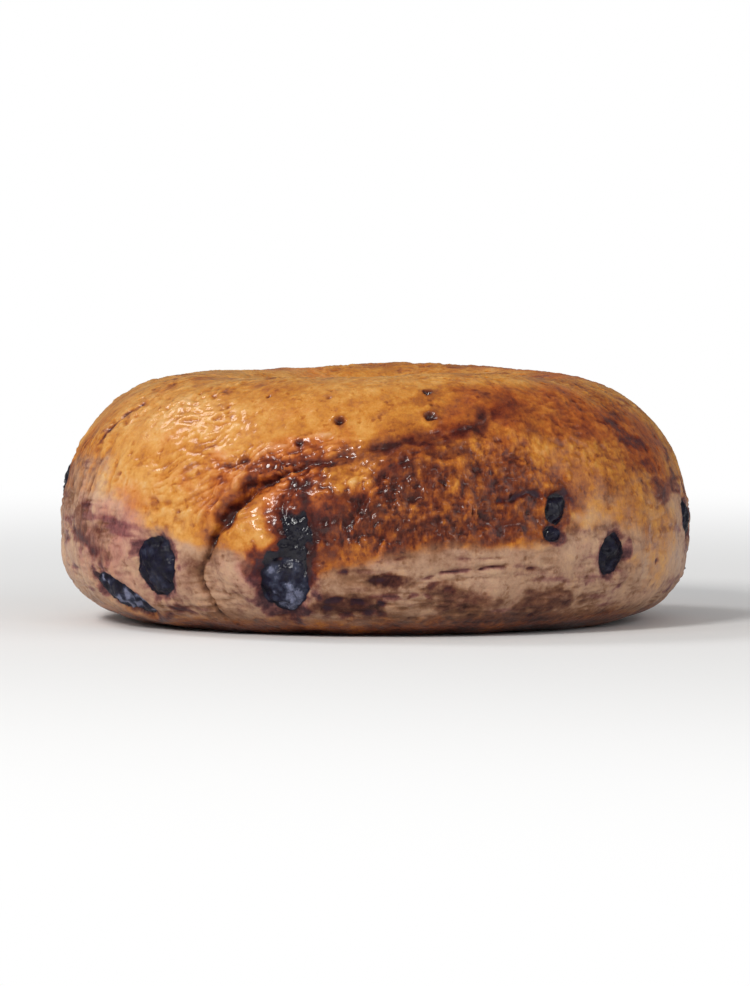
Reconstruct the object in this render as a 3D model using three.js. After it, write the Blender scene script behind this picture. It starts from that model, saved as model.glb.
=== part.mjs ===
// A blueberry bagel: one plump ring of dough, baked whole, built as one closed solid.
//
// Millimetres, +Z up. The origin is the centre of the flat base, the front is at -Y and +X is to its right.
// The skin is a grid: steps around the ring times steps around the dough's section. Each point starts on a
// smooth ring, and the fold of dough at the front and the berries under the crust then push it in or out.

import * as THREE from "three";

// Driving dimensions.
const WIDTH = 110; // left to right
const DEPTH = 108; // front to back
const HEIGHT = 44; // flat base to the highest point of the crown
const HOLE = 18; // across the hole at its narrowest
const WAIST = 16; // height of the widest part of the side

// The dough's section: a superellipse with a rounder crown, a fuller underside and a flat cut by the base.
const CROWN_POWER = 2.05;
const UNDERSIDE_POWER = 2.6;
const UNDERSIDE_REACH = 16.5; // how far below the waist the underside would reach without the flat

// Unevenness of a ring rolled by hand.
const SIDE_SWELL = 1.1;
const HOLE_SWELL = 0.9;
const CROWN_SWELL = 1.2;

// The fold where the dough laps over itself: its route, its groove and the lip of the upper lap.
const FOLD_ROUTE = [
  { around: 25, height: 38.5 },
  { around: 12, height: 34.5 },
  { around: -4, height: 32 },
  { around: -15, height: 29.5 },
  { around: -23.5, height: 26 },
  { around: -28.5, height: 19 },
  { around: -32.3, height: 11.5 },
  { around: -32, height: 4.5 },
];
const FOLD_POINTS = 36;
const GROOVE_DEPTH = 1.3;
const GROOVE_WIDTH = 3;
const LIP_HEIGHT = 0.9;
const LIP_WIDTH = 7;

// Berries that lie just under the crust. around is in degrees from the front, and across is in millimetres.
const BERRIES = [
  { around: -42.9, height: 12.2, across: 9 },
  { around: -17.6, height: 7.4, across: 11 },
  { around: 33, height: 21.6, across: 5 },
  { around: 46, height: 14.4, across: 8 },
  { around: 84, height: 17, across: 9 },
  { around: 112, height: 9, across: 8 },
  { around: 141, height: 22, across: 10 },
  { around: 172, height: 13, across: 9 },
  { around: -152, height: 19, across: 10 },
  { around: -118, height: 11, across: 8 },
  { around: -88, height: 24, across: 9 },
];
const BERRY_STAND = 0.6; // how far a berry lifts the crust
const BASE_BLEND = WAIST / 3; // below this height the bumps fade, so that the base stays flat

const AROUND_STEPS = 84;
const SECTION_STEPS = 30;
const BASE_STEPS = 3;

const RING_RADIUS = (WIDTH + HOLE) / 4;
const HALF_THICKNESS = (WIDTH - HOLE) / 4;
const CORE_HEIGHT = 0.42 * HEIGHT; // the middle of the dough, which bumps push away from

// A signed power, which turns a circle's sine or cosine into a superellipse's.
function squared(value, power) {
  return Math.sign(value) * Math.abs(value) ** (2 / power);
}

// A wave around the ring between about -1 and 1, with its own start for each use.
function wave(angle, start) {
  const slow = 0.55 * Math.cos(2 * angle + start);
  const middling = 0.3 * Math.cos(3 * angle - 2.3 * start);
  const quick = 0.15 * Math.cos(5 * angle + 1.7 * start);
  return slow + middling + quick;
}

// One point of the dough's section: its distance from the ring's centre line, and its height.
function sectionPoint(turn) {
  const up = Math.sin(turn);
  const power = up > 0 ? CROWN_POWER : UNDERSIDE_POWER;
  const reach = up > 0 ? HEIGHT - WAIST : UNDERSIDE_REACH;
  return {
    out: HALF_THICKNESS * squared(Math.cos(turn), power),
    height: Math.max(0, WAIST + reach * squared(up, power)),
  };
}

// The section as a closed loop: from the base's outer edge over the crown into the hole, and back below.
function sectionLoop() {
  const flatTurn = Math.asin((WAIST / UNDERSIDE_REACH) ** (UNDERSIDE_POWER / 2));
  const loop = [];
  for (let i = 0; i <= SECTION_STEPS; i++) {
    const share = i / SECTION_STEPS;
    loop.push(sectionPoint(-flatTurn + share * (Math.PI + 2 * flatTurn)));
  }
  loop[0].height = 0;
  loop[SECTION_STEPS].height = 0;
  const outer = loop[0].out;
  const inner = loop[SECTION_STEPS].out;
  for (let i = 1; i < BASE_STEPS; i++) {
    loop.push({ out: inner + ((outer - inner) * i) / BASE_STEPS, height: 0 });
  }
  return loop;
}

// Places a section point in the ring at an angle from the front, with the ring's unevenness.
function ringPoint(angle, { out, height }) {
  const share = out / HALF_THICKNESS;
  const side = SIDE_SWELL * wave(angle, 0.6) * Math.max(0, share);
  const hole = HOLE_SWELL * wave(angle, 2.1) * Math.max(0, -share);
  const radius = RING_RADIUS + out + side + hole;
  const lift = CROWN_SWELL * wave(angle, 6.05) * (height / HEIGHT) ** 2;
  return new THREE.Vector3(radius * Math.sin(angle), -radius * Math.cos(angle), height + lift);
}

// The point on the outer side of the smooth ring at an angle and a height.
function sidePoint({ around, height }) {
  const above = height > WAIST;
  const power = above ? CROWN_POWER : UNDERSIDE_POWER;
  const reach = above ? HEIGHT - WAIST : UNDERSIDE_REACH;
  const share = Math.abs(height - WAIST) / reach;
  const out = HALF_THICKNESS * (1 - share ** power) ** (1 / power);
  return ringPoint(THREE.MathUtils.degToRad(around), { out, height });
}

// The direction that leads from the middle of the dough out through a point of its skin.
function outward(angle, point) {
  const core = new THREE.Vector3(
    RING_RADIUS * Math.sin(angle),
    -RING_RADIUS * Math.cos(angle),
    CORE_HEIGHT,
  );
  return point.clone().sub(core).normalize();
}

// How far the fold moves a point: in at the groove, and out along the lip above it. It fades at its ends.
function foldPush(point, foldLine) {
  let nearest = 0;
  for (let i = 1; i < foldLine.length; i++) {
    if (foldLine[i].distanceTo(point) < foldLine[nearest].distanceTo(point)) nearest = i;
  }
  const closest = foldLine[nearest];
  const distance = closest.distanceTo(point);
  const fade = Math.sin((Math.PI * nearest) / (foldLine.length - 1)) ** 0.7;
  const groove = GROOVE_DEPTH * Math.exp(-((distance / GROOVE_WIDTH) ** 2));
  const upper = point.z > closest.z || point.x < closest.x;
  const lip = upper ? LIP_HEIGHT * Math.exp(-(((distance - LIP_WIDTH) / LIP_WIDTH) ** 2)) : 0;
  return fade * (lip - groove);
}

// How far the berries lift a point.
function berryPush(point, berries) {
  let push = 0;
  for (const { centre, across } of berries) {
    push += BERRY_STAND * Math.exp(-((point.distanceTo(centre) / (across / 2)) ** 2));
  }
  return push;
}

// The skin's points, ring by ring.
function skinPoints() {
  const loop = sectionLoop();
  const foldLine = new THREE.CatmullRomCurve3(FOLD_ROUTE.map(sidePoint)).getSpacedPoints(FOLD_POINTS);
  const berries = BERRIES.map((berry) => ({ centre: sidePoint(berry), across: berry.across }));
  const points = [];
  for (let i = 0; i < AROUND_STEPS; i++) {
    const angle = (2 * Math.PI * i) / AROUND_STEPS;
    for (const place of loop) {
      const point = ringPoint(angle, place);
      const clear = THREE.MathUtils.smoothstep(place.height, 0, BASE_BLEND);
      const push = clear * (foldPush(point, foldLine) + berryPush(point, berries));
      points.push(point.addScaledVector(outward(angle, point), push));
    }
  }
  return points;
}

// Two triangles for each cell of the grid, which closes on itself both ways.
function skinTriangles() {
  const loopLength = SECTION_STEPS + BASE_STEPS;
  const index = [];
  for (let i = 0; i < AROUND_STEPS; i++) {
    const here = i * loopLength;
    const next = ((i + 1) % AROUND_STEPS) * loopLength;
    for (let j = 0; j < loopLength; j++) {
      const k = (j + 1) % loopLength;
      index.push(here + j, next + j, next + k, here + j, next + k, here + k);
    }
  }
  return index;
}

// Scales a geometry to the driving sizes, centres it and stands it on z = 0.
function fitToSize(geometry) {
  geometry.computeBoundingBox();
  const { min, max } = geometry.boundingBox;
  geometry.translate(-(min.x + max.x) / 2, -(min.y + max.y) / 2, -min.z);
  geometry.scale(WIDTH / (max.x - min.x), DEPTH / (max.y - min.y), HEIGHT / (max.z - min.z));
}

function makeBagel() {
  const geometry = new THREE.BufferGeometry().setFromPoints(skinPoints());
  geometry.setIndex(skinTriangles());
  fitToSize(geometry);
  geometry.computeVertexNormals();
  const crust = new THREE.MeshStandardMaterial({ color: 0xb87a45, roughness: 0.45, metalness: 0 });
  const mesh = new THREE.Mesh(geometry, crust);
  mesh.name = "bagel";
  return mesh;
}

const part = new THREE.Group();
part.add(makeBagel());

export default part;
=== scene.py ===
"""A blueberry bagel: one finely modelled ring of crust, in the place of the plain CAD solid.

The skin is a grid, steps around the ring times steps around the dough's section, worked out in millimetres.
Each point starts on the CAD solid's own smooth ring. Layers then push it in or out along its normal, and
leave masks from 0 to 1 that the crust material turns into colour and gloss.

Places on the ring are degrees to the right of the front and heights in millimetres. Each seed stands for its
own stretch of the same noise.
"""

import itertools
import math
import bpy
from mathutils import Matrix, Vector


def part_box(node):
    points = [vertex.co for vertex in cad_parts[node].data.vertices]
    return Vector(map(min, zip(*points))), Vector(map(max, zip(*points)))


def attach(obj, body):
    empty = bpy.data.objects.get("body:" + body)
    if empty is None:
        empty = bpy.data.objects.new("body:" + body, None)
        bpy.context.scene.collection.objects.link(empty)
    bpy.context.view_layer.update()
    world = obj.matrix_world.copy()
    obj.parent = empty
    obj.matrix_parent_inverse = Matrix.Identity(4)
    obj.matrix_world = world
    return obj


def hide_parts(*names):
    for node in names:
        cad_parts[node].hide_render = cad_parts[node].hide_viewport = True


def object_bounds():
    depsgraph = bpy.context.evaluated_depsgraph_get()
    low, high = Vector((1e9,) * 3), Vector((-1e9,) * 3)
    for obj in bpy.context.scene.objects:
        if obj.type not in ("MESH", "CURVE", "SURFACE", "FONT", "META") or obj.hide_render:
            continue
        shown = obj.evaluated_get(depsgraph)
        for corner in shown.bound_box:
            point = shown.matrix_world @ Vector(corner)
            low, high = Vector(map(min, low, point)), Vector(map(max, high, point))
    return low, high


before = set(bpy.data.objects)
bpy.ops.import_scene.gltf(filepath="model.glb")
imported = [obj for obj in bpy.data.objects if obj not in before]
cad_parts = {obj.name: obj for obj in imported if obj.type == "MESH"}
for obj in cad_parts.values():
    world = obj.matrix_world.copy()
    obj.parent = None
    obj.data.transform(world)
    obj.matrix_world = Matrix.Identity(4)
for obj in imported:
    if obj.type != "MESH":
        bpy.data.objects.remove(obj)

from types import SimpleNamespace

import bpy
import numpy as np
from mathutils import Vector

cad_low, cad_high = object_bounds()

MM = 0.001  # in metres

# The ring, in millimetres, as the CAD part has it.
ring_low, ring_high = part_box("bagel")
WIDTH, _, HEIGHT = (side / MM for side in ring_high - ring_low)
HOLE = 18
WAIST = 16  # the height where it is widest
CROWN_POWER = 2.05
UNDERSIDE_POWER = 2.6
UNDERSIDE_REACH = 16.5
SIDE_SWELL = 1.1
HOLE_SWELL = 0.9
CROWN_SWELL = 1.2
RING_RADIUS = (WIDTH + HOLE) / 4
HALF_THICKNESS = (WIDTH - HOLE) / 4

AROUND_STEPS = 1080
SECTION_STEPS = 384
CURVE_STEPS = 6000  # of the section's curve, before it is cut into even steps
LOW_IN_HOLE = int(0.8 * SECTION_STEPS)  # a step of the section near the foot of the hole's wall
ROUTE_STEPS = 8  # between two places of a route

# The camera, in metres and degrees: nearly level, and far enough away to show little perspective.
CAMERA_DISTANCE = 1.2
CAMERA_ELEVATION = 3
RING_SHARE = 0.84  # of the image's width
IMAGE_WIDTH, IMAGE_HEIGHT = 750, 986


# -------- noise

LAST = 255  # row of the tables below, whose length has to be a power of two
random = np.random.default_rng(20)
SHUFFLE = random.permutation(LAST + 1)
DIRECTIONS = random.normal(size=(LAST + 1, 3)).astype(np.float32)
DIRECTIONS /= np.linalg.norm(DIRECTIONS, axis=1, keepdims=True)
SCATTER = random.random((LAST + 1, 3)).astype(np.float32)
CUBE = [np.array(corner) for corner in itertools.product((0, 1), repeat=3)]
NEIGHBOURS = [np.array(step) for step in itertools.product((-1, 0, 1), repeat=3)]
SEED_SHIFT = 37  # cells from one seed's stretch of the noise to the next
NOISE_GAIN = 1.6  # brings the noise's highest bumps to about 1


def cell_number(cell):
    """A whole number from 0 to LAST for each cell of space, the same each run."""
    x, y, z = cell[:, 0], cell[:, 1], cell[:, 2]
    return SHUFFLE[(SHUFFLE[(SHUFFLE[x & LAST] + y) & LAST] + z) & LAST]


def split(points, seed):
    """The cell that each point is in, and its place inside that cell."""
    base = np.floor(points)
    return base.astype(np.int32) + SEED_SHIFT * seed, (points - base).astype(np.float32)


def noise(points, seed):
    """Smooth noise between about -1 and 1, with bumps about one unit across."""
    cell, place = split(points, seed)
    ease = place**3 * (place * (place * 6 - 15) + 10)
    total = np.zeros(len(points), np.float32)
    for corner in CUBE:
        direction = DIRECTIONS[cell_number(cell + corner)]
        weight = np.prod(np.where(corner, ease, 1 - ease), axis=1)
        total += weight * np.einsum("ij,ij->i", direction, place - corner)
    return NOISE_GAIN * total


def rough_noise(points, seed, octaves, keep=0.5):
    """Noise with finer and fainter noise added to it."""
    total = 0
    for octave in range(octaves):
        total = total + keep**octave * noise(points * 2**octave, seed + octave)
    return total


def drift(points, seed):
    """A wandering offset for each point, which bends a pattern that is read at the shifted points."""
    return np.stack([noise(points, seed + axis) for axis in range(3)], axis=1)


def ridges(points, seed, octaves=2):
    """Thin crests near 1 with rounded hollows between them."""
    return 1 - np.abs(rough_noise(points, seed, octaves))


def folds(points, seed):
    """Rounded bumps up to about 1 with thin creases at 0 between them."""
    return np.abs(rough_noise(points, seed, 2))


def cells(points, seed):
    """Distances to the two nearest of points scattered one to a cell, and the nearest one's own number."""
    cell, place = split(points, seed)
    nearest = np.full(len(points), 9, np.float32)
    second = nearest.copy()
    number = np.zeros(len(points), np.int64)
    for step in NEIGHBOURS:
        key = cell_number(cell + step)
        distance = np.linalg.norm(step + SCATTER[key] - place, axis=1)
        closer = distance < nearest
        second = np.where(closer, nearest, np.minimum(second, distance))
        number = np.where(closer, key, number)
        nearest = np.where(closer, distance, nearest)
    return nearest, second, number / LAST


def rise(low, high, value):
    """0 at low, 1 at high and a smooth rise between them. It falls instead where low is the larger."""
    share = np.clip((value - low) / (high - low), 0, 1)
    return share * share * (3 - 2 * share)


def hump(value, width):
    """1 where value is 0, falling smoothly to nearly 0 at two widths away."""
    return np.exp(-((value / width) ** 2))


# -------- the smooth ring


def squared(value, power):
    """A signed power, which turns a circle's sine or cosine into a superellipse's."""
    return np.sign(value) * np.abs(value) ** (2 / power)


def wave(angle, start):
    """A wave around the ring between about -1 and 1."""
    slow = 0.55 * np.cos(2 * angle + start)
    middling = 0.3 * np.cos(3 * angle - 2.3 * start)
    quick = 0.15 * np.cos(5 * angle + 1.7 * start)
    return slow + middling + quick


def section_loop():
    """The dough's section at even steps: distance out from its middle, height, and length climbed.

    It runs from the base's outer edge over the crown into the hole and back along the flat base. The length
    climbed is 0 at the base's outer edge, and negative on the outer half of the flat.
    """
    flat_turn = math.asin((WAIST / UNDERSIDE_REACH) ** (UNDERSIDE_POWER / 2))
    turn = np.linspace(-flat_turn, math.pi + flat_turn, CURVE_STEPS)
    up = np.sin(turn)
    power = np.where(up > 0, CROWN_POWER, UNDERSIDE_POWER)
    reach = np.where(up > 0, HEIGHT - WAIST, UNDERSIDE_REACH)
    out = HALF_THICKNESS * squared(np.cos(turn), power)
    height = np.maximum(0, WAIST + reach * squared(up, power))
    out, height = np.append(out, out[0]), np.append(height, 0)
    climb = np.append(0, np.cumsum(np.hypot(np.diff(out), np.diff(height))))
    even = np.linspace(0, climb[-1], SECTION_STEPS, endpoint=False)
    middle_of_flat = (climb[-2] + climb[-1]) / 2
    signed = np.where(even > middle_of_flat, even - climb[-1], even)
    return np.interp(even, climb, out), np.interp(even, climb, height), signed


def smooth_ring():
    """The skin before any layer is added, with each point's place on it.

    Its share is 1 on the outer side, 0 on top of the crown and -1 on the hole's side.
    """
    out, height, climb = section_loop()
    angle = np.linspace(-math.pi, math.pi, AROUND_STEPS, endpoint=False)[:, None]
    share = out / HALF_THICKNESS
    side = SIDE_SWELL * wave(angle, 0.6) * np.maximum(0, share)
    hole = HOLE_SWELL * wave(angle, 2.1) * np.maximum(0, -share)
    radius = RING_RADIUS + out + side + hole
    lift = CROWN_SWELL * wave(angle, 6.05) * (height / HEIGHT) ** 2
    points = np.stack([radius * np.sin(angle), -radius * np.cos(angle), height + lift], axis=-1)
    along = np.roll(points, -1, 0) - np.roll(points, 1, 0)
    across = np.roll(points, -1, 1) - np.roll(points, 1, 1)
    normal = np.cross(along, across)

    def flat(values):
        spread = np.broadcast_to(values, points.shape[:2])
        return spread.reshape(-1).astype(np.float32)

    def flat_directions(values):
        unit = values / np.linalg.norm(values, axis=-1, keepdims=True)
        return unit.reshape(-1, 3).astype(np.float32)

    return SimpleNamespace(
        points=points.reshape(-1, 3).astype(np.float32),
        normal=flat_directions(normal),
        along=flat_directions(along),
        across=flat_directions(across),
        angle=flat(angle),
        height=flat(height),
        climb=flat(climb),
        share=flat(share),
    )


skin = smooth_ring()
count = len(skin.points)
push = np.zeros(count, np.float32)  # how far each point moves out, in millimetres
# How dark the crust is holds its browning and also the painted shade and painted highlights that the layers
# below add to it.
MASKS = ("bake_and_shade", "pale", "juice", "berry", "bloom", "crackle", "red")
masks = {name: np.zeros(count, np.float32) for name in MASKS}

degrees_round = np.degrees(skin.angle)
turned_away = np.abs(degrees_round)

# The outer side unrolled: millimetres to the right of the front, and millimetres up along the skin.
OUTER_RADIUS = 50
unrolled_x = skin.angle * OUTER_RADIUS
unrolled_y = skin.climb

# The same as places on a tall cylinder, for patterns that run around the ring or up the dough.
rolled = np.stack([np.sin(skin.angle) * OUTER_RADIUS, np.cos(skin.angle) * OUTER_RADIUS, skin.climb], axis=1)


def climb_at(height, inside):
    """The length climbed at a height, on the outer side or on the hole's side."""
    heights, climbs = skin.height[:SECTION_STEPS], skin.climb[:SECTION_STEPS]
    top = int(np.argmax(heights))
    rising = slice(LOW_IN_HOLE, top, -1) if inside else slice(top)
    return np.interp(height, heights[rising], climbs[rising])


def unroll(degrees, height, inside=False):
    return np.array([math.radians(degrees) * OUTER_RADIUS, climb_at(height, inside)])


def smooth_route(route):
    """A Catmull-Rom curve through the places of a route, on the unrolled side."""
    knots = [unroll(*place) for place in route]
    knots = [2 * knots[0] - knots[1], *knots, 2 * knots[-1] - knots[-2]]
    curve = []
    for before, start, end, after in zip(knots, knots[1:], knots[2:], knots[3:]):
        slope = end - before
        bend = 2 * before - 5 * start + 4 * end - after
        twist = 3 * (start - end) + after - before
        for share in np.arange(ROUTE_STEPS) / ROUTE_STEPS:
            curve.append(start + 0.5 * share * (slope + share * (bend + share * twist)))
    return np.array([*curve, knots[-2]])


def nearest_on(curve, places):
    """How far each place is from a curve, to its left and along it, and the share of the way along."""
    near = np.full(len(places), 1e3, np.float32)
    left, along = near.copy(), near.copy()
    walked = 0
    for start, end in zip(curve, curve[1:]):
        step = end - start
        length = np.hypot(*step)
        part = np.clip(((places - start) @ step) / length**2, 0, 1)
        gap = places - start - part[:, None] * step
        distance = np.hypot(gap[:, 0], gap[:, 1])
        side = np.sign(step[0] * gap[:, 1] - step[1] * gap[:, 0])
        closer = distance < near
        near = np.where(closer, distance, near)
        left = np.where(closer, distance * side, left)
        along = np.where(closer, walked + part * length, along)
        walked += length
    return near, left, along, along / walked


def beside_route(route, reach, waver, seed):
    """The points within reach of a wavering route, how far left and along it, and the share of the way."""
    curve = smooth_route(route)
    places = np.stack([unrolled_x, unrolled_y], axis=1)
    low, high = curve.min(0) - reach, curve.max(0) + reach
    which = np.flatnonzero(np.all((places > low) & (places < high), axis=1))
    places = places[which]
    for axis in range(2):
        places[:, axis] += waver * noise(skin.points[which] / 4, seed + axis)
    near, left, along, share = nearest_on(curve, places)
    close = near < reach
    return which[close], left[close], along[close], share[close]


# An oval's uneven edge, as shares of its half sizes: where it is looked for, and where it is 0 and 1.
EDGE_REACH = 1.8
EDGE_OUT, EDGE_IN = 1.35, 0.45


def patch(degrees, height, half_width, half_height, waver, seed):
    """A soft-edged oval on the outer side, 1 in its middle and 0 outside, with an uneven outline."""
    x, y = unroll(degrees, height)
    turn = 2 * math.pi * OUTER_RADIUS
    right = (unrolled_x - x + turn / 2) % turn - turn / 2  # the short way round
    reach = np.hypot(right / half_width, (unrolled_y - y) / half_height)
    near = np.flatnonzero(reach < EDGE_REACH)
    uneven = waver * rough_noise(skin.points[near] / (0.7 * min(half_width, half_height)), seed, 2)
    oval = np.zeros(count, np.float32)
    oval[near] = rise(EDGE_OUT, EDGE_IN, reach[near] + uneven)
    return oval


def ovals(table, waver, seed):
    """Each row of a table that starts with an oval's four values: its oval, and what else the row says."""
    for number, row in enumerate(table):
        yield patch(*row[:4], waver, seed + number), *row[4:]


def around(degrees, height, reach, inside=False):
    """The skin's point at a place, the points within reach of it, and their offsets from it."""
    x, y = unroll(degrees, height, inside)
    centre = np.argmin(np.hypot(unrolled_x - x, unrolled_y - y))
    offset = skin.points - skin.points[centre]
    which = np.flatnonzero(np.linalg.norm(offset, axis=1) < reach)
    return centre, which, offset[which]


# -------- layers of the crust

EVERYWHERE = slice(None)


def lay(which=EVERYWHERE, out=0, brown=0, **covers):
    """Moves points out by millimetres, browns them further or paints shade on them, with negative amounts
    painting highlights, and raises each named mask where it is lower.
    """
    push[which] += out
    masks["bake_and_shade"][which] += brown
    for name, amount in covers.items():
        masks[name][which] = np.maximum(masks[name][which], amount)


# Rounded laps and dents of dough: degrees, height, half sizes and how far they stand out.
LAPS = [
    (-23, 15.5, 5.5, 8.5, 1.7),
    (-9.5, 26, 5, 3.5, 0.9),
    (6, 30.5, 6, 2.6, 0.5),
    (-38, 18, 5, 10, 0.4),
    (20, 15, 24, 3.5, 0.5),
    (-11, 17, 4.5, 6, -0.7),
    (54, 17, 3, 7, 0.5),
]


def add_lumps():
    """The slow unevenness of a ring rolled by hand, and the rounded laps of dough beside the fold."""
    lay(out=0.5 * noise(skin.points / 26, 1) + 0.28 * rough_noise(skin.points / 9, 2, 2))
    lay(out=0.06 * rough_noise(skin.points / 2.8, 4, 2))
    for oval, out in ovals(LAPS, waver=0.1, seed=5):
        lay(out=out * oval)


# How high the pale lower side reaches, by degrees from the front.
PALE_TOP = [
    (-180, 15), (-150, 11), (-120, 18), (-90, 26), (-74, 29), (-62, 28), (-52, 23), (-44, 18),
    (-36, 17), (-30, 15.5), (-23, 14.2), (-16, 10), (-9, 11.6), (-4, 13), (1, 14.2), (9, 16),
    (25, 16.2), (31, 16.3), (36, 20), (44, 21.5), (52, 21), (60, 24), (74, 26), (96, 21),
    (120, 13), (150, 10), (180, 15),
]


def add_pale_band():
    """The lower side and the hole's wall, which brown least, with fine creases that run around the ring."""
    slow = noise(rolled * [1 / 12, 1 / 12, 1 / 5], 120)
    uneven = 0.8 * slow + 0.9 * rough_noise(rolled / [4, 4, 2], 121, 3)
    top = np.interp(degrees_round, *zip(*PALE_TOP))
    # Away from the front the band's edge is softer and wanders more.
    away = np.maximum(rise(-36, -56, degrees_round), rise(24, 42, degrees_round))
    soft = 1.5 + 5 * away
    wander = (0.75 + 2.05 * away) * uneven
    low = rise(soft, -soft, skin.height - top + wander) * (skin.share > 0)
    low = low * (1 - 0.6 * patch(61, 16, 9, 8, 0.4, 119))
    lifted = rise(0.5, 5, skin.height + 0.9 * uneven)
    hole = 0.8 * rise(-0.5, -0.9, skin.share) * rise(34, 20, skin.height + 2 * uneven)
    lay(pale=low * lifted + hole)
    crease = rise(0.74, 1, ridges(rolled / [9, 9, 1.3], 125))
    crease = crease * masks["pale"] * rise(-0.4, 0.3, noise(skin.points / 6, 127))
    # The creases are darkened as painted shade.
    lay(out=-0.25 * crease, brown=0.16 * crease)


# Lighter and darker ovals of the front: degrees, height, half sizes, how brown and how strongly.
BROWNED = [
    (24, 38, 18, 6, 0.53, 0.8),
    (42, 38, 14, 8, 0.6, 0.8),
    (62, 34, 14, 9, 0.58, 0.8),
    (44, 27, 10, 6, 0.55, 0.7),
    (12, 33.5, 14, 3.6, 0.62, 0.85),
    (20, 40, 12, 5, 0.58, 0.8),
    (-30, 42, 12, 3.5, 0.46, 0.6),
    (-34, 30, 9, 5, 0.44, 0.6),
    (-24.5, 28, 8, 3, 0.52, 0.6),
    (15, 28, 18, 8, 0.66, 0.9),
    (15, 23, 19, 6.5, 0.72, 0.95),
    (3, 19, 11, 6, 0.68, 1),
    (2, 24, 7, 6, 0.71, 0.9),
    (-9, 18, 5.5, 8, 0.84, 1),
    (-6, 10.5, 7, 5, 0.56, 0.8),
    (-64, 20, 16, 14, 0.22, 0.7),
    (66, 14, 9, 12, 0.24, 0.7),
    (25, 22, 7, 4, 0.78, 0.9),
    (17, 18.2, 17, 2.4, 0.78, 0.85),
    (2, 40.5, 20, 4, 0.42, 0.5),
    (-5, 28, 6.5, 3.2, 0.42, 0.95),
    (4, 36.5, 16, 4, 0.4, 0.6),
    (57, 17, 6, 7, 0.38, 0.7),
    (-22.5, 17.5, 4.2, 5, 0.34, 0.9),
]

# Redder ovals: degrees, height, half sizes and how red they are.
REDDENED = [
    (26, 39, 12, 7, 0.7),
    (46, 38, 14, 8, 0.8),
    (65, 34, 12, 9, 0.8),
    (-15, 23, 8, 4, 1),
    (-30, 27, 8, 6, 0.4),
    (-56, 16, 12, 12, 0.6),
    (2, 18, 10, 8, 0.3),
]


def add_browning_and_base_shade():
    """How far the crust has browned: a little more to the right, darker at the base, partly browned there and
    partly painted shade, and by ovals in front.
    """
    bake_and_shade = 0.33 + 0.04 * np.sin(skin.angle) + 0.05 * rough_noise(skin.points / 17, 50, 2)
    # Darker towards the base: a browned bottom, with painted shade low on the side on top of it.
    bake_and_shade = bake_and_shade + 0.26 * rise(7.5, 0.5, skin.height + noise(skin.points / 5, 58))
    for oval, brown, strength in ovals(BROWNED, waver=0.35, seed=60):
        bake_and_shade += strength * oval * (brown - bake_and_shade)
    lay(brown=bake_and_shade + 0.09 * rough_noise(skin.points / 5.5, 54, 3))
    for oval, red in ovals(REDDENED, waver=0.3, seed=300):
        lay(red=red * oval)
    unseen = rise(70, 90, turned_away)
    lay(red=unseen * rise(-0.1, 0.7, noise(skin.points / 20, 310)))


def emboss(amount, crests, relief, lighter):
    """Raises the crests of a pattern that lies around 0, and paints them lighter than its hollows: a painted
    highlight on the crests and painted shade in the hollows.
    """
    lay(out=relief * amount * crests, brown=-lighter * amount * crests)


def add_wrinkles():
    """The fine wrinkled skin of the crown, faintest on the smooth golden front, and its coarser places."""
    bent = rolled + 1.4 * drift(rolled / 5, 321)
    smooth = patch(4, 40, 22, 7, 0.3, 320)
    upper = rise(12, 22, skin.height) * (1 - masks["pale"]) * (1 - 0.75 * smooth)
    upper = upper * rise(-0.7, 0.4, noise(skin.points / 11, 328))
    upper = upper * (1 + 0.9 * patch(-42, 35, 22, 12, 0.3, 329))
    emboss(upper, ridges(bent / [3.6, 3.6, 1.3], 325) - 0.6, 0.34, 0.24)

    left_end = patch(-64, 24, 14, 9, 0.4, 370)
    emboss(left_end, ridges(bent / [1.8, 1.8, 6], 371, 1) - 0.7, 0.5, 0.35)

    beside_fold = patch(-34, 27, 11, 7, 0.4, 373)
    rising = bent - [[0, 0, 0.5]] * unrolled_x[:, None]
    emboss(beside_fold, ridges(rising / [6, 6, 1.3], 374) - 0.6, 0.4, 0.35)


# How strongly each oval of the front is crackled: degrees, height, half sizes and strength.
CRACKLED = [
    (-2, 18.5, 8, 7, 1),
    (2, 24, 7, 6, 1),
    (-11, 19, 4, 5, 0.8),
    (13, 23, 14, 10, 0.9),
    (25, 26, 12, 11, 0.85),
    (-24, 27, 6, 3, 0.5),
    (40, 31, 9, 8, 0.3),
]


def crackled_zone():
    """How strongly each point is crackled: by ovals in front, and by noise high on the other sides."""
    unseen = rise(50, 70, turned_away)
    high = rise(12, 20, skin.height) * rise(-0.5, 0.3, skin.share)
    patches = unseen * high * rise(0, 0.5, noise(skin.points / 18, 90))
    lay(brown=0.22 * patches)
    zone = 0.9 * patches
    for oval, strength in ovals(CRACKLED, waver=0.3, seed=80):
        zone = np.maximum(zone, strength * oval)
    return zone * (1 - masks["pale"])


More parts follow.
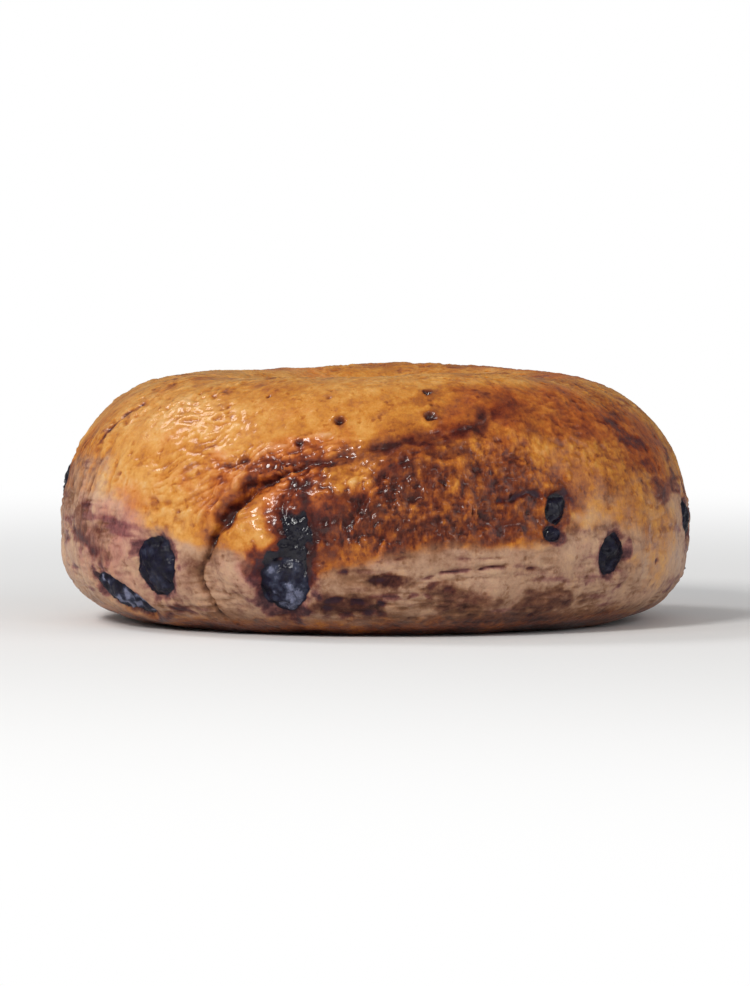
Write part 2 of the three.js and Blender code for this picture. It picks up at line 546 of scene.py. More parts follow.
def add_crackle():
    """Blistered dough: upright wrinkles and plates, with cracks between them where it browned most; the
    cracks are darkened as painted shade and the blisters lightened as a painted highlight.
    """
    zone = crackled_zone()
    lay(crackle=zone, red=0.4 * zone)
    which = np.flatnonzero(zone > 0.02)
    strong = zone[which]
    place = rolled[which]
    bent = place + 0.8 * drift(place / 2.2, 91)
    blister = strong * (folds(bent / [1.9, 1.9, 4.0], 94) - 0.35)
    near, second, number = cells(bent / [1.7, 1.7, 3.0], 96)
    gap = second - near
    core = rise(0.8, 1.0, strong + 0.35 * noise(place / 4, 97))
    crack = core * rise(0.24, 0.02, gap) * rise(-0.5, 0.2, noise(place / 2.5, 98))
    plate = rise(0, 0.5, gap) * number
    # The patches of the other sides are flatter than the front.
    settled = 1 - 0.5 * rise(40, 60, turned_away[which])
    # Painted shade darkens the cracks and a painted highlight lightens the blisters; the plates' tones differ
    # at random.
    lay(
        which,
        out=settled * (0.55 * blister + core * (0.35 * plate - 0.45 * crack)),
        brown=0.16 * crack - 0.36 * blister + 0.1 * core * (0.5 - number),
    )


# The fold at the front, where the dough laps over itself, from lower left to upper right.
FOLD = [
    (-30, 3), (-32.3, 7), (-32.3, 11.5), (-30.2, 16), (-27.5, 20.5), (-24, 25),
    (-20, 27.9), (-15, 29.6), (-9.6, 30.9), (1, 32.5), (17, 35.4), (30, 39.5),
]
# How deep, wide and dark it is, the darkness being painted shade in the groove: shares of the way along it,
# and the value at each.
FOLD_DEPTH = (
    [0, 0.1, 0.2, 0.27, 0.36, 0.43, 0.5, 0.6, 0.8, 1],
    [0.3, 0.8, 1.2, 2.2, 2.2, 1.1, 0.5, 0.3, 0.2, 0],
)
FOLD_WIDTH = ([0, 0.18, 0.26, 0.38, 0.46, 0.62, 1], [0.35, 0.4, 0.9, 0.9, 0.45, 0.8, 0.7])
FOLD_DARK = (
    [0, 0.12, 0.22, 0.36, 0.42, 0.6, 0.7, 0.86, 1],
    [0.5, 0.65, 0.65, 0.5, 0.22, 0.26, 0.34, 0.4, 0],
)


def add_fold():
    """The main fold: a groove under a lip, darkened with painted shade, with ropes of dough along it that are
    painted lighter on top and darker between.
    """
    which, left, along, share = beside_route(FOLD, 9, 0.9, 11)
    points = skin.points[which]
    depth = np.interp(share, *FOLD_DEPTH)
    dark = np.interp(share, *FOLD_DARK)
    ragged = 1 + 0.45 * noise(points / 3.5, 13)
    broken = 0.45 + 0.55 * rise(-0.4, 0.3, rough_noise(points / 2.4, 14, 2))
    width = np.interp(share, *FOLD_WIDTH) * ragged
    groove = depth * hump(left, width) + 0.25 * depth * hump(left + 0.6, 2.0)
    lip = 0.5 * depth * hump(left - 2.4, 2.2) - 0.2 * depth * hump(left + 3.5, 2.5)
    # Painted shade in the groove and beside it.
    shade = 0.75 * hump(left, 1.2 * width) + 0.3 * hump(left - 0.5, 2.4)
    lay(which, out=lip - groove, brown=dark * broken * shade)

    bent = np.stack([left / 1.25, along / 5.5, 0.1 * left], axis=1)
    bent[:, 0] += 0.35 * noise(points / 3, 15)
    ropes = folds(bent, 16)
    open_part = rise(0.2, 0.3, share) * rise(0.66, 0.5, share)
    above = open_part * rise(-2, -0.5, left) * rise(8, 4, left)
    # Painted highlights on the ropes and painted shade in the creases between them.
    lay(which, out=above * (ropes - 0.4), brown=-0.6 * above * (ropes - 0.35), red=0.8 * above)
    add_fold_cobbles(which, left, along, above)

    worn = rise(0.6, 0.72, share) * hump(left, 2.2 * ragged) * broken
    lay(which, out=0.6 * worn * (ropes - 0.4), brown=0.16 * worn, red=worn)


def add_fold_cobbles(which, left, along, strength):
    """Cobbled blisters between the ropes, where the fold is open, painted lighter on top as a highlight and
    darker between as painted shade.
    """
    place = np.stack([left / 1.7, along / 2.2, 0 * left], axis=1)
    place = place + 0.45 * drift(skin.points[which] / 1.8, 17)
    near, second, number = cells(place, 18)
    cobble = rise(0, 0.55, second - near) * (0.3 + number)
    lay(which, out=0.35 * strength * (cobble - 0.5), brown=-0.15 * strength * (cobble - 0.6))


def add_knot():
    """Where the fold meets the berry's trail: a knot of dark wrinkles, and golden cobbles to its right, both
    painted lighter on their crests as highlights and darker in their hollows as painted shade.
    """
    bent = skin.points + 0.8 * drift(skin.points / 2.4, 331)
    knot = patch(-16.5, 28.6, 5.5, 4.2, 0.4, 330)
    wrinkle = folds(bent / [2.2, 2.2, 1.1], 334) - 0.4
    lay(out=knot * (0.9 * wrinkle - 0.2), brown=knot * (0.06 - 0.75 * wrinkle), red=knot)

    cobbled = patch(-5, 28, 8, 4.5, 0.3, 336)
    which = np.flatnonzero(cobbled)
    strength = cobbled[which]
    near, second, number = cells(bent[which] / 1.9, 337)
    cobble = rise(0, 0.5, second - near) * (0.4 + 0.6 * number)
    lay(which, out=0.5 * strength * (cobble - 0.5), brown=-0.3 * strength * (cobble - 0.55))


SECOND_FOLD = [(-5.5, 19.5), (-3.6, 22.3), (-0.5, 26.4), (3, 29.3), (6.7, 31.3), (11, 32.3)]


def faded_ends(share):
    """1 along most of a route, and falling to 0 at both its ends."""
    return rise(0, 0.2, share) * rise(1, 0.8, share)


def add_second_fold():
    """A fainter crease that branches from the fold down into the browned dough, darkened along it as painted
    shade.
    """
    which, left, _, share = beside_route(SECOND_FOLD, 6, 0.8, 26)
    points = skin.points[which]
    ragged = 1 + 0.4 * noise(points / 3, 28)
    fade = faded_ends(share)
    broken = rise(-0.6, 0.1, noise(points / 1.8, 29))
    lay(
        which,
        out=fade * (0.35 * hump(left - 1.8, 1.4) - 0.5 * broken * hump(left, 0.6 * ragged)),
        brown=fade * broken * (0.3 * hump(left, 0.8 * ragged) + 0.1 * hump(left + 1.5, 1.8)),
        red=0.7 * fade * hump(left, 2.0),
    )


def add_blisters():
    """Small round blisters from the steam, painted lighter as a highlight, and a few open pores darkened as
    painted shade.
    """
    golden = rise(14, 24, skin.height) * (1 - 0.8 * masks["pale"])
    for size, height, seed in ((2.3, 0.26, 100), (1.2, 0.17, 101)):
        near, _, number = cells(skin.points / size, seed)
        dome = np.clip(1 - (near / 0.5) ** 2, 0, 1)
        few = rise(0.45, 0.75, number)
        many = np.maximum(rise(0, 0.6, noise(skin.points / 12, seed + 5)), masks["crackle"])
        dome = golden * dome * few * (0.15 + 0.85 * many)
        lay(out=height * dome, brown=-0.1 * dome)
    near, _, number = cells(skin.points / 3.1, 110)
    pore = (number > 0.72) * rise(0.2, 0.08, near) * rise(4, 10, skin.height)
    lay(out=-0.35 * pore, brown=0.3 * pore)


def add_streaks():
    """Purple where juice has run through the pale dough, in streaks that follow the rolling."""
    streaks = rough_noise(rolled / [9, 9, 2.2], 130, 3)
    blots = rough_noise(rolled / [11, 11, 6], 135, 2)
    run = rise(0.25, 1.1, streaks + 0.6 * blots)
    tint = 0.24 * rise(-0.5, 0.7, blots + 0.4 * streaks)
    more_left = 0.75 + 0.2 * rise(-46, -54, degrees_round)
    lay(juice=np.maximum(masks["pale"], 0.1) * more_left * (tint + 0.5 * run))


def add_swirls():
    """Swirls of juice at the right end of the crown, and on all that the front doesn't show."""
    unseen = np.maximum(rise(55, 75, turned_away), rise(0.3, 0, skin.share))
    right_end = np.maximum(patch(52, 36, 20, 8, 0.3, 340), 0.8 * patch(66, 27, 9, 6, 0.3, 342))
    swirl = rough_noise(rolled / [16, 16, 6], 344, 4, 0.6) + 0.5 * noise(skin.points / 20, 348)
    swirl = rise(0.45, 1.15, swirl + 0.55 * right_end)
    lay(juice=0.8 * np.maximum(unseen, right_end) * swirl)


def add_specks():
    """Bits of berry the size of a pinhead, most of them low on the side."""
    near, _, number = cells(rolled / [6, 6, 5], 136)
    speck = rise(0.13, 0.06, near + 0.05 * noise(skin.points / 0.8, 137)) * (number > 0.82)
    speck = speck * (0.3 + 0.7 * rise(30, 14, skin.height))
    lay(out=-0.25 * speck, juice=0.9 * speck)


# Soft purple-brown clouds low on the front, juice stains darkened further as painted shade: degrees, height,
# half sizes and how much juice.
CLOUDS = [
    (2, 10.2, 3.2, 1.4, 0.65),
    (11.5, 8.6, 4, 1.5, 0.3),
    (16.5, 6.2, 6.5, 2.8, 0.36),
    (33, 6.2, 7, 3, 0.4),
    (-6, 5.8, 6, 2.2, 0.5),
    (30, 3.4, 22, 1.8, 0.3),
    (-60, 15, 5.5, 4.5, 0.3),
    (-68, 19, 3.5, 4, 0.35),
]


def add_clouds():
    """The clouds: stains where juice has run, darkened again as painted shade low on the front."""
    for oval, juice in ovals(CLOUDS, waver=0.4, seed=350):
        lay(brown=0.8 * juice * oval, juice=juice * oval)


# Thin seams and streaks: route, depth, width and how much juice has run into them.
SEAMS = [
    ([(-4, 13), (1, 13.6), (6, 14.3)], 0.3, 0.35, 0.6),
    ([(5, 10.3), (10, 11), (16, 11.9), (21, 12.3), (28, 12.2), (33, 11.6)], 0.55, 0.32, 0.95),
    ([(12, 13.6), (18, 13.9), (24, 13.6)], 0.3, 0.3, 0.5),
    ([(-1, 9.8), (2, 10.4), (5, 10.1)], 0.2, 1, 1.1),
    ([(-3, 12.2), (0, 11.6), (3, 11.2)], 0.2, 0.4, 0.7),
    ([(8, 9), (11, 8.8), (15, 8.2)], 0.15, 1.2, 0.75),
    ([(-8, 11.6), (-6.5, 11.9), (-5, 11.6)], 0.3, 0.5, 1),
    ([(-4, 6.6), (1, 7.2), (6, 7.4), (11, 7)], 0.2, 0.6, 0.8),
    ([(-13, 3.2), (-8, 3.8), (-2, 4.4), (4, 4)], 0.2, 1.1, 0.9),
    ([(-11.5, 5.4), (-8, 6.5), (-5, 6.6), (-1.5, 6.2), (3, 5.6)], 0.35, 0.9, 1.5),
    ([(-10.5, 5.2), (-7, 5.6), (-3.5, 5.4)], 0.2, 0.8, 1.4),
    ([(20, 23.2), (24, 24.2), (28, 24.8), (32, 23.8)], 0.6, 0.7, 1),
    ([(-78, 20), (-72, 17.5), (-66, 15), (-59, 12.5), (-53, 10)], 0.2, 2.4, 0.7),
    ([(-68, 24), (-63, 20), (-57, 16)], 0.15, 1.2, 0.5),
    ([(-63, 41), (-67, 36.5), (-69, 31)], 0.2, 1.1, 0.9),
    ([(-47, 3.2), (-41, 4.4), (-35, 4)], 0.2, 1.3, 0.9),
    ([(-27, 8.5), (-25, 8.1), (-23.5, 8.6)], 0.1, 0.5, 0.4),
    ([(-28, 4.5), (-25, 5.5), (-22.5, 5)], 0.1, 1.2, 0.5),
]


def add_seams():
    """Broken creases that fade at both ends, stained by juice and darkened a little as painted shade."""
    for number, (route, depth, width, juice) in enumerate(SEAMS):
        which, left, _, share = beside_route(route, 4 * width + 1, 0.5, 30 + number)
        points = skin.points[which]
        broken = rise(-0.55, 0.25, noise(points / 2.2, 46 + number))
        thickness = width * (1 + 0.5 * noise(points / 1.6, 62 + number))
        line = faded_ends(share) * broken * hump(left, thickness)
        lay(which, out=-depth * line, brown=0.12 * line, juice=juice * line)


def add_underside():
    """The flat base, browned by the baking surface, and its worn edge."""
    under = rise(3.2, 0.6, skin.height + 0.8 * noise(skin.points / 4, 140))
    mottle = rough_noise(skin.points / 7, 141, 3)
    lay(brown=under * (0.2 + 0.14 * mottle))
    masks["pale"] *= 1 - under
    flat = skin.height < 0.01
    near, _, number = cells(skin.points / 2.4, 145)
    pits = rise(0.35, 0.1, near) * (number > 0.6)
    push[flat] = np.minimum(0, 0.12 * mottle - 0.25 * pits - 0.08)[flat]


# Burst blisters with a raised rim: degrees, height and radius.
CRATERS = [(-7.6, 37.5, 0.8), (10.6, 37.5, 0.9), (11.5, 41.4, 0.6), (-15, 33.6, 0.6)]


def add_craters():
    """The burst blisters, each a hole darkened as painted shade, with its rim."""
    for degrees, height, radius in CRATERS:
        _, which, offset = around(degrees, height, 6 * radius)
        reach = np.linalg.norm(offset, axis=1) / radius
        reach = reach * (1 + 0.3 * noise(skin.points[which] / 1.1, 170))
        rim = 0.3 * hump(reach - 1.5, 0.5)
        lay(which, out=rim - 0.9 * hump(reach, 0.9), brown=0.9 * hump(reach, 1.1))


# A burst berry's trail down from the fold, its half width and how black it is along the way.
TRAIL = [(-14.5, 25), (-15, 22.5), (-14.2, 20), (-13.8, 17.5), (-15, 15), (-16.8, 12.5)]
TRAIL_WIDTH = ([0, 0.2, 0.45, 0.7, 1], [2.2, 2.6, 2.1, 2.3, 3.6])
TRAIL_BLACK = ([0, 0.2, 0.36, 0.5, 1], [0, 0.35, 0.85, 1, 1])


def add_trail():
    """Wrinkled skin and juice of a burst berry, sunk into the dough, with red-brown dough round it; the
    wrinkles' crests are painted lighter as a highlight and their hollows darker as painted shade.
    """
    which, left, along, share = beside_route(TRAIL, 9, 0.9, 160)
    points = skin.points[which]
    reach = np.abs(left) / np.interp(share, *TRAIL_WIDTH) + 0.4 * rough_noise(points / 2.4, 161, 3)
    dark = rise(1.15, 0.7, reach)
    wrinkle = ridges(np.stack([left / 1.1, along / 2.4, 0 * left], axis=1), 165)
    black = dark * np.interp(share, *TRAIL_BLACK) * rise(-0.7, 0, noise(points / 2.5, 166))
    lay(
        which,
        out=-dark * (0.9 - 0.8 * wrinkle),
        brown=0.5 * rise(1.8, 0.8, reach) - 0.3 * dark * (wrinkle - 0.5),
        berry=black,
        juice=0.8 * rise(1.9, 0.8, reach) * black,
        red=rise(2.2, 1.0, reach),
    )


# The berries: degrees from the front, height, half width, half height, tilt in degrees, and bloom.
BERRIES = [
    (-43, 12.2, 4.7, 5.2, 10, 0.65),
    (-16.8, 8.9, 4.2, 5.4, 4, 1),
    (33, 21.8, 2.2, 2.8, 12, 0.3),
    (32, 17.8, 1.7, 1.5, 0, 0.6),
    (45.8, 13.7, 3.1, 3.8, -8, 0.5),
    (-56, 5.8, 3.3, 6.4, -62, 1.6),
    (80, 19, 4.6, 3.6, 30, 0.5),
    (92, 9, 1.8, 2.6, 60, 0.5),
    (110, 8, 4.1, 3.4, 0, 0.8),
    (138, 27, 4.4, 5.2, 50, 0.6),
    (150, 12, 1.9, 1.6, 0, 0.4),
    (172, 11, 4.8, 3.6, -15, 0.9),
    (-151, 24, 3.2, 4.6, -40, 0.7),
    (-136, 6, 2.6, 1.9, 0, 0.7),
    (-119, 12, 4.2, 3.6, 10, 0.8),
    (-90, 26, 4.2, 4.6, 0, 0.6),
    (-100, 40.5, 2.6, 3.4, 20, 0.5),
    (124, 42.5, 3.2, 2.4, 0, 0.6),
]
# The same for those on the hole's side of the crown.
INNER_BERRIES = [
    (24, 38, 4.4, 2.6, 0, 0.7),
    (-64, 41, 3.4, 2.8, 20, 0.5),
    (96, 34, 5.6, 2.8, 0, 0.8),
    (-160, 37, 5.2, 2.4, 10, 0.6),
    (-20, 22, 8, 2.6, 0, 0.6),
]
BERRY_POWER = 2.3  # of the outline's superellipse, a little squarer than an ellipse
BERRY_SEEDS = 7  # from one berry's first seed to the next one's


def reach_in_berry(points, right, up, seed):
    """How far from a berry's middle each point is, as a share of the way to its uneven outline."""
    outline = 1 + 0.26 * noise(points / 4.5, seed) + 0.07 * noise(points / 1.6, seed + 1)
    reach = (np.abs(right) ** BERRY_POWER + np.abs(up) ** BERRY_POWER) ** (1 / BERRY_POWER)
    return reach / outline


def berry_relief(points, pushed, reach, bare, seed):
    """How far out the skin lies: a wrinkled dome in a moat of dough with a lip, that keeps the base flat."""
    wrinkle = ridges((points + 0.5 * noise(points / 2, seed + 3)[:, None]) / 2.3, seed + 2, 1)
    fine = ridges(points / 1.2, seed + 7, 1)
    dome = 0.9 * np.clip(1 - reach**2, 0, 1) - 0.75 + 1.1 * (wrinkle - 0.7) + 0.3 * (fine - 0.7)
    uneven = 0.6 + 0.5 * noise(points / 3, seed + 6)
    moat = 0.55 * uneven * hump(reach - 1.0, 0.14)
    lip = 0.4 * uneven * hump(reach - 1.4, 0.3)
    off_base = np.clip(points[:, 2] / 3, 0, 1)
    return (1 - bare) * pushed + off_base * (bare * (0.5 * pushed + dome) + lip - moat)


def add_berry(degrees, height, half_width, half_height, tilt, bloom, seed, inside=False):
    """Sets one berry into the crust, with stained dough round it."""
    centre, which, offset = around(degrees, height, 4 * max(half_width, half_height), inside)
    right, up = offset @ skin.along[centre], offset @ skin.across[centre]
    cos, sin = math.cos(math.radians(tilt)), math.sin(math.radians(tilt))
    right, up = right * cos - up * sin, right * sin + up * cos
    points = skin.points[which]
    reach = reach_in_berry(points, right / half_width, up / half_height, seed)
    bare = rise(1.06, 0.86, reach)
    push[which] = berry_relief(points, push[which], reach, bare, seed)
    fringe = reach + 0.55 * rough_noise(points / 3, seed + 4, 3)
    stain = 0.36 * rise(2.0, 1.0, fringe) + 0.45 * rise(1.25, 1.0, fringe)
    dusty = rise(-0.7, 1.1, rough_noise(points / 2.2, seed + 5, 2))
    lay(which, juice=stain, berry=bare, bloom=bare * bloom * dusty)


def add_berries():
    """All the berries, and the frosted lower part of the burst one."""
    for number, berry in enumerate(BERRIES):
        add_berry(*berry, seed=200 + BERRY_SEEDS * number)
    for number, berry in enumerate(INNER_BERRIES):
        add_berry(*berry, seed=400 + BERRY_SEEDS * number, inside=True)
    lay(bloom=0.85 * masks["berry"] * patch(-15, 6.6, 2.4, 3.2, 0.9, 360))


add_lumps()
add_pale_band()
add_browning_and_base_shade()
add_wrinkles()
add_crackle()
add_fold()
add_knot()
add_second_fold()
add_blisters()
add_streaks()
add_swirls()
add_specks()
add_clouds()
add_seams()
add_underside()
add_craters()
add_trail()
add_berries()


# -------- mesh


def fitted(points):
    """Points in metres, scaled to fill the CAD solid's box and stand on its base."""
    low, high = points.min(0), points.max(0)
    share = (points - low) / (high - low)
    return np.array(ring_low) + share * np.array(ring_high - ring_low)


def grid_quads():
    """The four corners of each face, for a grid that closes on itself both ways."""
    here = np.arange(count).reshape(AROUND_STEPS, SECTION_STEPS)
    beside = np.roll(here, -1, 0)
    corners = [here, beside, np.roll(beside, -1, 1), np.roll(here, -1, 1)]
    return np.stack(corners, axis=-1).reshape(-1, 4)


def make_mesh():
    """The pushed skin, with the masks as its attributes."""
    raised = skin.points + push[:, None] * skin.normal
    raised[:, 2] = np.maximum(raised[:, 2], 0)
    quads = grid_quads()
    mesh = bpy.data.meshes.new("baked_bagel")
    mesh.vertices.add(count)
    mesh.vertices.foreach_set("co", fitted(raised).astype(np.float32).ravel())
    mesh.loops.add(quads.size)
    mesh.loops.foreach_set("vertex_index", quads.astype(np.int32).ravel())
    mesh.polygons.add(len(quads))
    mesh.polygons.foreach_set("loop_start", np.arange(0, quads.size, 4, dtype=np.int32))
    mesh.polygons.foreach_set("use_smooth", np.ones(len(quads), bool))
    mesh.update(calc_edges=True)
    mesh.validate()
    for name, values in masks.items():
        attribute = mesh.attributes.new(name, "FLOAT", "POINT")
        attribute.data.foreach_set("value", np.clip(values, 0, 1).astype(np.float32))
    add_map(mesh)
    return mesh


def add_map(mesh):
    """Lays the grid out over the whole square, so that the baked images use every pixel."""
    row, column = np.divmod(np.arange(count), SECTION_STEPS)
    first = np.stack([row / AROUND_STEPS, column / SECTION_STEPS], axis=1)
    corner = np.array([[0, 0], [1, 0], [1, 1], [0, 1]]) / [AROUND_STEPS, SECTION_STEPS]
    places = first[:, None, :] + corner[None]
    layer = mesh.uv_layers.new(name="OFBake")
    layer.uv.foreach_set("vector", places.astype(np.float32).ravel())


# -------- materials


class Nodes:
    """Short calls that add nodes to one material."""

    def __init__(self, name):
        self.material = bpy.data.materials.new(name)
        self.material.use_nodes = True
        self.tree = self.material.node_tree
        self.shader = self.tree.nodes["Principled BSDF"]
        self.place = self.tree.nodes.new("ShaderNodeTexCoord").outputs["Object"]

    def fill(self, node, values):
        """Links inputs of a node, by name or number, to other sockets, or gives them values."""
        for name, value in values.items():
            if isinstance(value, bpy.types.NodeSocket):
                self.tree.links.new(value, node.inputs[name])
            elif value is not None:
                node.inputs[name].default_value = value

    def mask(self, name):
        node = self.tree.nodes.new("ShaderNodeAttribute")
        node.attribute_name = name
        return node.outputs["Fac"]

    def noise(self, size, detail, roughness, stretch=None):
        """Noise around 0.5 whose bumps are about size millimetres across."""
        node = self.tree.nodes.new("ShaderNodeTexNoise")
        place = self.stretched(stretch) if stretch else self.place
        self.fill(node, {"Vector": place, "Scale": 1 / (size * MM), "Detail": detail, "Roughness": roughness})
        return node.outputs["Fac"]

    def stretched(self, scale):
        node = self.tree.nodes.new("ShaderNodeMapping")
        self.fill(node, {"Vector": self.place, "Scale": scale})
        return node.outputs["Vector"]

    def maths(self, operation, first, second=None, third=None):
        node = self.tree.nodes.new("ShaderNodeMath")
        node.operation = operation
        self.fill(node, {0: first, 1: second, 2: third})
        return node.outputs[0]

    def add(self, value, amount, factor=1.0):
        """value + factor * amount."""
        return self.maths("MULTIPLY_ADD", amount, factor, value)

    def swing(self, noise, strength):
        """Noise around 0.5 turned into noise around 0."""
        return self.maths("MULTIPLY_ADD", noise, 2 * strength, -strength)

    def varied(self, value, *swings):
        """A value made uneven by noises around 0.5, each with its strength."""
        for noise, strength in swings:
            value = self.add(value, self.swing(noise, strength))
        return value

    def between(self, value, low, high, start=0.0, end=1.0):
        """start where value is at or below low, end at or above high, and smooth between."""
        node = self.tree.nodes.new("ShaderNodeMapRange")
        node.interpolation_type = "SMOOTHSTEP"
        self.fill(node, {"Value": value, "From Min": low, "From Max": high, "To Min": start, "To Max": end})
        return node.outputs["Result"]

    def ramp(self, value, stops):
        """The colour of a list of stops, each a value and its colour."""
        node = self.tree.nodes.new("ShaderNodeValToRGB")
        elements = node.color_ramp.elements
        while len(elements) < len(stops):
            elements.new(0.5)
        for element, (position, colour) in zip(elements, stops):
            element.position = position
            element.color = (*colour, 1)
        self.fill(node, {"Fac": value})
        return node.outputs["Color"]

    def mix(self, share, first, second, blend="MIX"):
        node = self.tree.nodes.new("ShaderNodeMix")
        node.data_type = "RGBA"
        node.blend_type = blend
        self.fill(node, {0: share, 6: first, 7: second})
        return node.outputs[2]

    def bump(self, height, distance, normal=None):
        """A normal tilted by a relief of up to distance millimetres, on top of another normal if given."""
        node = self.tree.nodes.new("ShaderNodeBump")
        self.fill(node, {"Strength": 1, "Distance": distance * MM, "Height": height, "Normal": normal})
        return node.outputs["Normal"]


# Colours by how far the crust has browned, a level which also holds its painted shade and painted highlights.
CRUST = [
    (0, (0.66, 0.41, 0.18)),
    (0.2, (0.62, 0.3, 0.075)),
    (0.36, (0.52, 0.2, 0.03)),
    (0.5, (0.38, 0.118, 0.018)),
    (0.64, (0.235, 0.062, 0.014)),
    (0.78, (0.13, 0.029, 0.011)),
    (0.9, (0.075, 0.016, 0.009)),
    (1, (0.042, 0.01, 0.007)),
]
PALE_CRUST = [
    (0, (0.6, 0.4, 0.26)),
    (0.35, (0.44, 0.265, 0.172)),
    (0.6, (0.24, 0.115, 0.062)),
    (1, (0.06, 0.025, 0.016)),
]
# Colours by how much bloom a berry has.
BERRY_SKIN = [
    (0, (0.004, 0.003, 0.009)),
    (0.35, (0.009, 0.008, 0.022)),
    (0.7, (0.036, 0.04, 0.066)),
    (1, (0.18, 0.19, 0.28)),
]
RED_TINT = (0.92, 0.68, 0.8, 1)
JUICE_TINT = (0.55, 0.38, 0.5, 1)
JUICE_DEEP = (0.035, 0.014, 0.022, 1)

ROUGHNESS = 0.42
COAT_WEIGHT = 0.45
# How each mask changes the coat: pale dough, bloom and crackled dough are duller, and berries are glossier.
COAT_CHANGES = {"pale": -0.3, "bloom": -0.4, "crackle": -0.1, "berry": 0.2}
# What is the same all over: a weak reflection under the coat, and a little light inside the dough.
EVEN_VALUES = {
    "IOR": 1.18,
    "Coat Roughness": 0.15,
    "Subsurface Weight": 0.05,
    "Subsurface Radius": (1.0, 0.45, 0.2),
    "Subsurface Scale": 1.5 * MM,
}


class CrustNodes(Nodes):
    """The crust's nodes, with the noises that its colour, gloss and relief share."""

    def __init__(self):
        super().__init__("crust")
        self.mottle = self.noise(3.4, 4, 0.6)
        self.speckle = self.noise(1.0, 5, 0.65)
        self.upright = self.noise(0.85, 3, 0.55, stretch=(1, 1, 0.42))


def brown_and_shade_level(nodes):
    """How far the crust has browned, with its painted shade and painted highlights, made uneven, with
    freckles, and with flecks where it is crackled.
    """
    grain = nodes.noise(0.4, 3, 0.6)
    bake_and_shade = nodes.varied(nodes.mask("bake_and_shade"), (nodes.mottle, 0.3), (nodes.speckle, 0.17), (grain, 0.06))
    flecks = nodes.swing(nodes.between(nodes.upright, 0.36, 0.64), 0.1)
    bake_and_shade = nodes.add(bake_and_shade, nodes.maths("MULTIPLY", flecks, nodes.mask("crackle")))
    freckles = nodes.between(nodes.noise(1.6, 2, 0.5), 0.6, 0.72)
    return nodes.add(bake_and_shade, freckles, 0.14)


def dough_colour(nodes):
    """The brown and the pale crust, with its redder places."""
    bake_and_shade = brown_and_shade_level(nodes)
    pale = nodes.varied(nodes.mask("pale"), (nodes.speckle, 0.4), (nodes.mottle, 0.5))
    colour = nodes.mix(nodes.between(pale, 0, 1), nodes.ramp(bake_and_shade, CRUST), nodes.ramp(bake_and_shade, PALE_CRUST))
    red = nodes.varied(nodes.mask("red"), (nodes.noise(5, 3, 0.6), 0.9))
    return nodes.mix(nodes.between(red, 0, 1), colour, RED_TINT, "MULTIPLY")


def with_juice(nodes, colour):
    """The colour tinted by a little juice, and covered by much of it."""
    juice = nodes.varied(nodes.mask("juice"), (nodes.speckle, 0.28), (nodes.mottle, 0.3))
    colour = nodes.mix(nodes.between(juice, 0.05, 0.6), colour, JUICE_TINT, "MULTIPLY")
    return nodes.mix(nodes.between(juice, 0.5, 1.0, 0, 0.95), colour, JUICE_DEEP)


def with_berries(nodes, colour):
    """The colour with the berries' skin over it, greyer where they have bloom."""
    bloom = nodes.varied(nodes.mask("bloom"), (nodes.speckle, 0.5))
    berry = nodes.varied(nodes.mask("berry"), (nodes.speckle, 0.2))
    return nodes.mix(nodes.between(berry, 0.3, 0.65), colour, nodes.ramp(bloom, BERRY_SKIN))


def add_gloss(nodes):
    """A soft shine under an uneven glossy coat."""
    rough = nodes.varied(ROUGHNESS, (nodes.mottle, 0.2))
    rough = nodes.add(rough, nodes.mask("pale"), 0.1)
    coat = nodes.varied(COAT_WEIGHT, (nodes.mottle, 0.5))
    for name, change in COAT_CHANGES.items():
        coat = nodes.add(coat, nodes.mask(name), change)
    nodes.fill(nodes.shader, {"Roughness": rough, "Coat Weight": nodes.between(coat, 0, 1)})


def add_relief(nodes):
    """Bumps finer than the mesh, and a coat that wavers most on the berries."""
    relief = nodes.bump(nodes.speckle, 0.12)
    relief = nodes.bump(nodes.upright, 0.2, normal=relief)
    stronger = nodes.add(1.0, nodes.mask("berry"), 4.0)
    waver = nodes.maths("MULTIPLY", nodes.noise(1.2, 3, 0.5), stronger)
    nodes.fill(nodes.shader, {"Normal": relief, "Coat Normal": nodes.bump(waver, 0.07)})


def crust_material():
    """Baked dough and berries in one material, as they are one skin."""
    nodes = CrustNodes()
    colour = with_berries(nodes, with_juice(nodes, dough_colour(nodes)))
    nodes.fill(nodes.shader, {"Base Color": colour, **EVEN_VALUES})
    add_gloss(nodes)
    add_relief(nodes)
    return nodes.material


# The floor, in metres, and how far from its middle it starts to turn white and is white.
FLOOR_RADIUS = 0.6
FLOOR_SIDES = 96
WHITE_FROM, WHITE_AT = 0.08, 0.45


def floor_material():
    """A pale matt floor that turns plain white towards its rim, where it meets the background."""
    nodes = Nodes("pale_floor")
    distance = nodes.tree.nodes.new("ShaderNodeVectorMath")
    distance.operation = "LENGTH"
    nodes.fill(distance, {0: nodes.place})
    nodes.fill(nodes.shader, {"Base Color": (0.8, 0.8, 0.8, 1), "Roughness": 0.9, "Specular IOR Level": 0.1})
    white = nodes.tree.nodes.new("ShaderNodeEmission")
    blend = nodes.tree.nodes.new("ShaderNodeMixShader")
    share = nodes.between(distance.outputs["Value"], WHITE_FROM, WHITE_AT)
    nodes.fill(blend, {0: share, 1: nodes.shader.outputs["BSDF"], 2: white.outputs["Emission"]})
    nodes.fill(nodes.tree.nodes["Material Output"], {"Surface": blend.outputs["Shader"]})
    return nodes.material


# -------- the stage


def add_object(name, data):
    made = bpy.data.objects.new(name, data)
    bpy.context.scene.collection.objects.link(made)
    return made


def aim(thing, target):
    """Turns a camera or a light, which look along their own -Z, towards a point."""
    direction = Vector(target) - thing.location
    thing.rotation_euler = direction.to_track_quat("-Z", "Y").to_euler()


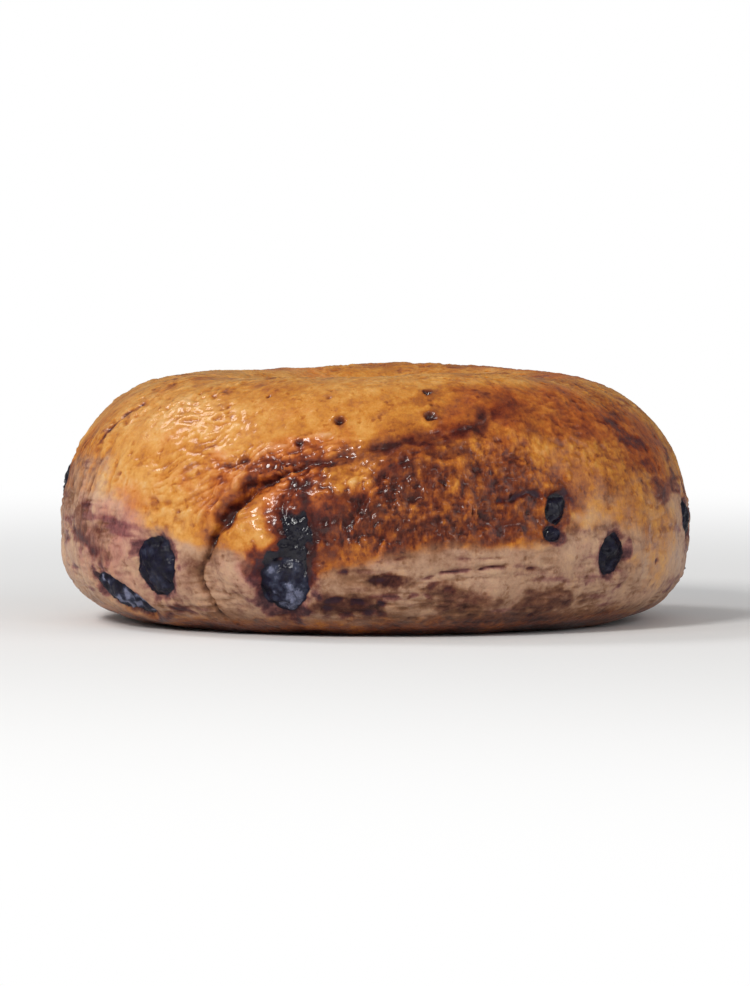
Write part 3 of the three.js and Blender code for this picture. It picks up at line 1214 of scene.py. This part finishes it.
def make_camera():
    centre = (cad_low + cad_high) / 2
    view_width = (cad_high.x - cad_low.x) / RING_SHARE
    camera = bpy.data.cameras.new("camera")
    camera.lens = camera.sensor_width * CAMERA_DISTANCE / (view_width * IMAGE_HEIGHT / IMAGE_WIDTH)
    camera.clip_start, camera.clip_end = 0.05, 30
    made = add_object("camera", camera)
    elevation = math.radians(CAMERA_ELEVATION)
    back = Vector((0, -math.cos(elevation), math.sin(elevation)))
    made.location = centre + CAMERA_DISTANCE * back
    aim(made, centre)
    bpy.context.scene.camera = made


def make_floor():
    """A round floor of one face."""
    mesh = bpy.data.meshes.new("floor")
    turns = np.linspace(0, 2 * math.pi, FLOOR_SIDES, endpoint=False)
    rim = [(FLOOR_RADIUS * math.cos(turn), FLOOR_RADIUS * math.sin(turn), 0) for turn in turns]
    mesh.from_pydata(rim, [], [list(range(len(rim)))])
    mesh.materials.append(floor_material())
    floor = add_object("floor", mesh)


WARM_WHITE = (1.0, 0.985, 0.96)
COOL_WHITE = (0.96, 0.98, 1.0)
PLAIN_WHITE = (1.0, 1.0, 1.0)

# Soft boxes: name, place, size, power in watts and colour. Places and sizes are in metres.
LIGHTS = [
    ("key", (-0.5, -0.85, 0.65), 0.25, 8, WARM_WHITE),
    ("fill", (1.0, -0.35, 0.5), 0.8, 2.4, COOL_WHITE),
    ("right_front", (0.62, -0.95, 0.62), 0.2, 1.2, WARM_WHITE),
    ("left_front", (-0.98, -0.6, 0.5), 0.2, 1.2, WARM_WHITE),
    ("left_top", (-0.65, 0.3, 0.85), 0.3, 3, PLAIN_WHITE),
]
LIT_POINT = (0, 0, 0.02)

# The white world's strength: what it lights with, and what share of that is left in reflections.
WORLD_LIGHT = 0.38
REFLECTED_SHARE = 0.4


def make_lights():
    for name, place, size, power, colour in LIGHTS:
        light = bpy.data.lights.new(name, "AREA")
        light.shape = "SQUARE"
        light.size = size
        light.energy = power
        light.color = colour
        made = add_object(name, light)
        made.location = place
        aim(made, LIT_POINT)


def make_world():
    """White behind everything, dimmer as a light, and dimmer still in reflections."""
    world = bpy.data.worlds.new("studio")
    bpy.context.scene.world = world
    world.use_nodes = True
    tree = world.node_tree
    background = tree.nodes["Background"]
    background.inputs["Color"].default_value = (*PLAIN_WHITE, 1)
    rays = tree.nodes.new("ShaderNodeLightPath")
    strength = tree.nodes.new("ShaderNodeMath")
    strength.operation = "MULTIPLY"
    levels = [("Is Camera Ray", WORLD_LIGHT, 1.0), ("Is Glossy Ray", 1.0, REFLECTED_SHARE)]
    for socket, (kind, for_others, for_these) in zip(strength.inputs, levels):
        level = tree.nodes.new("ShaderNodeMapRange")
        level.inputs["To Min"].default_value = for_others
        level.inputs["To Max"].default_value = for_these
        tree.links.new(rays.outputs[kind], level.inputs["Value"])
        tree.links.new(level.outputs["Result"], socket)
    tree.links.new(strength.outputs[0], background.inputs["Strength"])


make_camera()
bagel = add_object("baked_bagel", make_mesh())
bagel.data.materials.append(crust_material())
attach(bagel, "root")
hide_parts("bagel")
make_floor()
make_lights()
make_world()
bpy.context.scene.view_settings.view_transform = "Standard"
